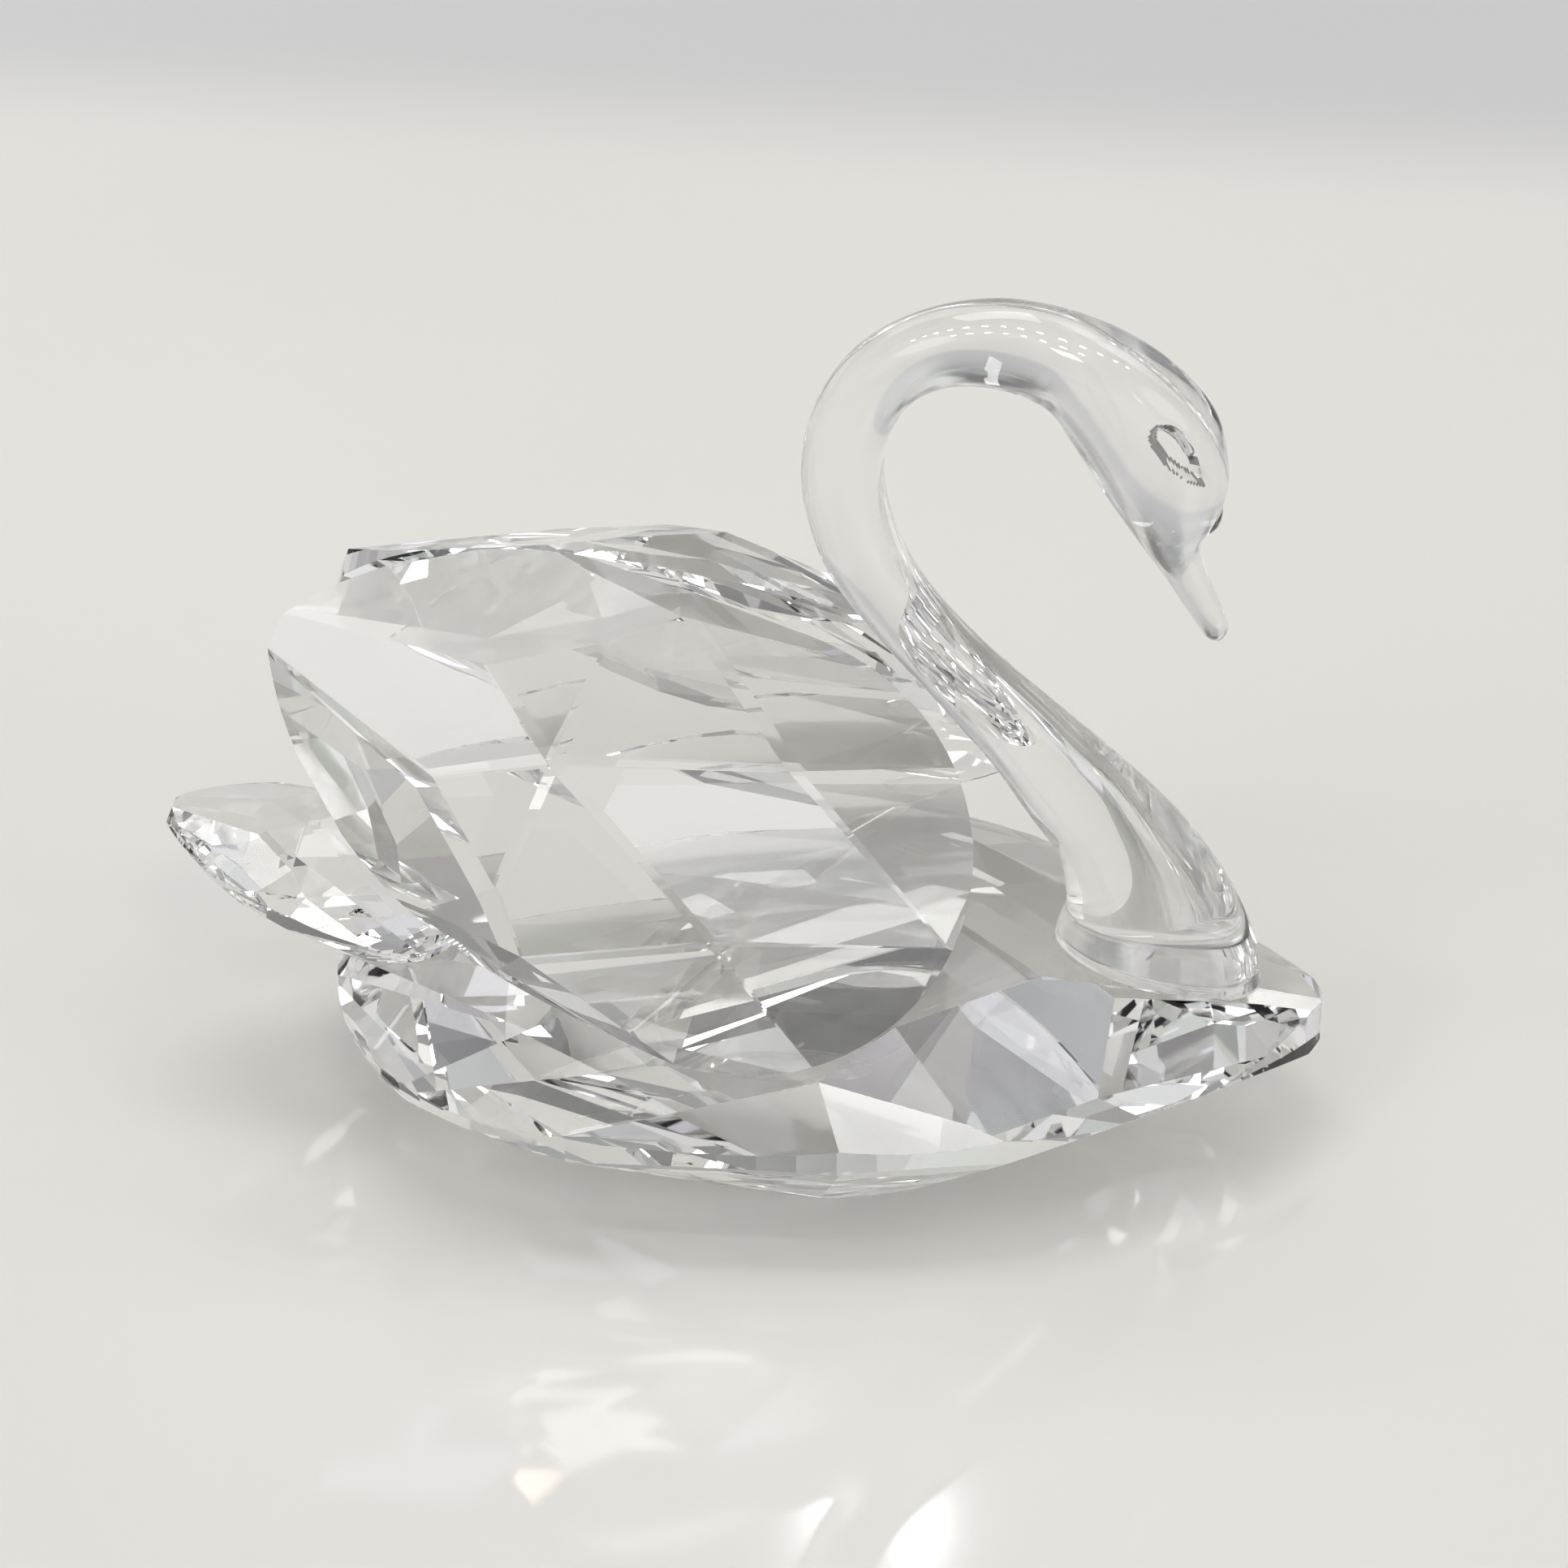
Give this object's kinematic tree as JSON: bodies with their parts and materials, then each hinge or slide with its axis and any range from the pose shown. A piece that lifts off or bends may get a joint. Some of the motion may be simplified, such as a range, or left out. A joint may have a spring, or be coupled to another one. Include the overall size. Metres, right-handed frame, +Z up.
{
  "type": "crystal glass figurine",
  "caption": "Clear faceted crystal swan with almond-cut body, wings and tail stones and a curved pressed neck and head, bonded with clear adhesive.",
  "frame": {"origin": "middle of the figurine's length and width, on the plane it stands on", "axes": "+X towards the breast and beak, +Y towards the swan's left wing, +Z up"},
  "size_m": [0.0586, 0.031, 0.0452],
  "materials": {
    "crystal_body": "cut and polished",
    "crystal_wing": "cut and polished",
    "crystal_tail": "cut and polished",
    "crystal_neck": "pressed and fire polished",
    "adhesive": "clear cured adhesive"
  },
  "bodies": {
    "root": {"body_stone": "crystal_body", "right_wing_stone": "crystal_wing", "left_wing_stone": "crystal_wing", "tail_stone": "crystal_tail", "neck_and_head": "crystal_neck", "neck_foot_bond": "adhesive", "right_wing_bond": "adhesive", "left_wing_bond": "adhesive", "tail_bond": "adhesive"}
  },
  "joints": []
}
